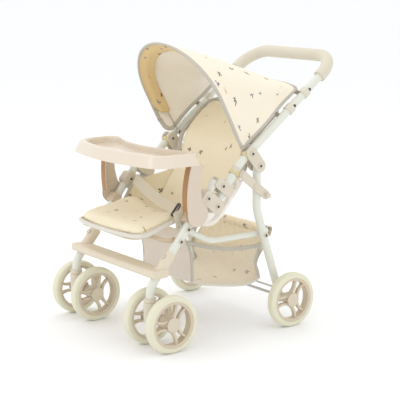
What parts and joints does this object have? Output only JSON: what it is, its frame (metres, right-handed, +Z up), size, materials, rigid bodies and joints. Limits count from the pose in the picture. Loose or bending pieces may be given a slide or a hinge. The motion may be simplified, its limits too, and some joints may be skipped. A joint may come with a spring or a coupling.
{
  "type": "doll stroller",
  "caption": "Folding toy stroller for dolls with a tube frame, sling seat, fabric canopy, hanging basket, play tray and swivelling twin front wheels.",
  "frame": {"origin": "on the floor under the middle of the plan", "axes": "+Z up, +X to the pusher's left, -Y towards the front where the doll looks"},
  "size_m": [0.379, 0.5274, 0.589],
  "materials": {
    "frame_tube": "satin off-white powder coat",
    "cream_plastic": "satin beige moulded plastic",
    "tray_plastic": "glossy beige moulded plastic",
    "rivet_metal": "plain bright steel",
    "grip_foam": "fine matt foam",
    "seat_fabric": "cream woven polyester with a small scattered print",
    "canopy_fabric": "cream woven polyester with a small scattered print",
    "basket_fabric": "plain pinkish beige woven polyester",
    "mesh_fabric": "open beige mesh with a grey binding",
    "strap_fabric": "plain beige webbing",
    "buckle_plastic": "dark moulded plastic",
    "tyre_rubber": "pale yellow smooth foam rubber",
    "rim_plastic": "beige moulded plastic"
  },
  "bodies": {
    "front_frame": {"front_leg_left": "frame_tube", "front_leg_right": "frame_tube", "footrest": "cream_plastic", "hinge_bracket_left": "cream_plastic", "hinge_bracket_right": "cream_plastic", "frame_rivets": "rivet_metal", "swivel_collars": "cream_plastic", "seat_tube": "frame_tube", "seat_pan": "seat_fabric", "lap_strap": "strap_fabric", "strap_buckle": "buckle_plastic"},
    "tray": {"tray": "tray_plastic", "tray_arm_left": "cream_plastic", "tray_arm_right": "cream_plastic"},
    "handle_frame": {"handle_tube": "frame_tube", "handle_grip": "grip_foam", "lock_clip_left": "cream_plastic", "lock_clip_right": "cream_plastic", "leg_bracket_left": "cream_plastic", "leg_bracket_right": "cream_plastic", "latch_mounts": "cream_plastic", "handle_rivets": "rivet_metal", "canopy_clips": "strap_fabric", "seat_back": "seat_fabric"},
    "canopy": {"canopy_bow": "rivet_metal", "canopy_fabric": "canopy_fabric"},
    "rear_frame": {"rear_leg_left": "frame_tube", "rear_leg_right": "frame_tube", "rear_axle": "rivet_metal", "rear_cross_rod": "rivet_metal", "rear_spacers": "cream_plastic", "rear_leg_rivets": "rivet_metal"},
    "basket": {"basket_tube": "frame_tube", "basket_bag": "basket_fabric", "basket_side_left": "mesh_fabric", "basket_side_right": "mesh_fabric"},
    "latch_left": {"fold_latch_left": "cream_plastic"},
    "latch_right": {"fold_latch_right": "cream_plastic"},
    "caster_left": {"caster_left": "cream_plastic", "front_axle_left": "rivet_metal"},
    "caster_right": {"caster_right": "cream_plastic", "front_axle_right": "rivet_metal"},
    "wheel_front_left_outer": {"tyre_front_left_outer": "tyre_rubber", "rim_front_left_outer": "rim_plastic", "hub_cap_front_left_outer": "rim_plastic"},
    "wheel_front_left_inner": {"tyre_front_left_inner": "tyre_rubber", "rim_front_left_inner": "rim_plastic", "hub_cap_front_left_inner": "rim_plastic"},
    "wheel_front_right_outer": {"tyre_front_right_outer": "tyre_rubber", "rim_front_right_outer": "rim_plastic", "hub_cap_front_right_outer": "rim_plastic"},
    "wheel_front_right_inner": {"tyre_front_right_inner": "tyre_rubber", "rim_front_right_inner": "rim_plastic", "hub_cap_front_right_inner": "rim_plastic"},
    "wheel_rear_left": {"tyre_rear_left": "tyre_rubber", "rim_rear_left": "rim_plastic", "hub_cap_rear_left": "rim_plastic"},
    "wheel_rear_right": {"tyre_rear_right": "tyre_rubber", "rim_rear_right": "rim_plastic", "hub_cap_rear_right": "rim_plastic"}
  },
  "joints": [
    {"name": "fold", "type": "hinge", "parent": "front_frame", "child": "handle_frame", "pos_m": [0, -0.07293, 0.27087], "axis": [1, 0, 0], "range_deg": [-105, 0], "deforming": ["seat_back", "basket_bag", "basket_side_left", "basket_side_right"]},
    {"name": "rear_leg_fold", "type": "hinge", "parent": "handle_frame", "child": "rear_frame", "pos_m": [0, 0.03519, 0.34247], "axis": [1, 0, 0], "range_deg": [0, 58.7]},
    {"name": "basket_fold", "type": "hinge", "parent": "front_frame", "child": "basket", "pos_m": [0, -0.14282, 0.23225], "axis": [1, 0, 0], "range_deg": [-74.5, 0]},
    {"name": "canopy_fold", "type": "hinge", "parent": "handle_frame", "child": "canopy", "pos_m": [0, 0.0316, 0.38281], "axis": [1, 0, 0], "range_deg": [-75, 0], "deforming": ["canopy_fabric"]},
    {"name": "latch_left_lift", "type": "hinge", "parent": "handle_frame", "child": "latch_left", "pos_m": [0.1515, -0.00856, 0.32812], "axis": [1, 0, 0], "range_deg": [0, 25]},
    {"name": "latch_right_lift", "type": "hinge", "parent": "handle_frame", "child": "latch_right", "pos_m": [-0.1515, -0.00856, 0.32812], "axis": [1, 0, 0], "range_deg": [0, 25]},
    {"name": "tray_pull", "type": "slide", "parent": "front_frame", "child": "tray", "axis": [0, -0.7771, 0.6293], "range_m": [0, 0.15]},
    {"name": "caster_left_swivel", "type": "hinge", "parent": "front_frame", "child": "caster_left", "pos_m": [0.141, -0.22967, 0.0685], "axis": [0, 0, 1], "continuous": true},
    {"name": "caster_right_swivel", "type": "hinge", "parent": "front_frame", "child": "caster_right", "pos_m": [-0.141, -0.22967, 0.0685], "axis": [0, 0, 1], "continuous": true},
    {"name": "wheel_front_left_outer_spin", "type": "hinge", "parent": "caster_left", "child": "wheel_front_left_outer", "pos_m": [0.18, -0.20616, 0.0575], "axis": [1, 0, 0], "continuous": true},
    {"name": "wheel_front_left_inner_spin", "type": "hinge", "parent": "caster_left", "child": "wheel_front_left_inner", "pos_m": [0.102, -0.20616, 0.0575], "axis": [1, 0, 0], "continuous": true},
    {"name": "wheel_front_right_outer_spin", "type": "hinge", "parent": "caster_right", "child": "wheel_front_right_outer", "pos_m": [-0.18, -0.20616, 0.0575], "axis": [1, 0, 0], "continuous": true},
    {"name": "wheel_front_right_inner_spin", "type": "hinge", "parent": "caster_right", "child": "wheel_front_right_inner", "pos_m": [-0.102, -0.20616, 0.0575], "axis": [1, 0, 0], "continuous": true},
    {"name": "wheel_rear_left_spin", "type": "hinge", "parent": "rear_frame", "child": "wheel_rear_left", "pos_m": [0.1775, 0.09983, 0.0575], "axis": [1, 0, 0], "continuous": true},
    {"name": "wheel_rear_right_spin", "type": "hinge", "parent": "rear_frame", "child": "wheel_rear_right", "pos_m": [-0.1775, 0.09983, 0.0575], "axis": [1, 0, 0], "continuous": true}
  ],
  "couplings": [
    {"joint": "rear_leg_fold", "follows": "fold", "ratio": -0.558},
    {"joint": "basket_fold", "follows": "fold", "ratio": 0.7086}
  ]
}
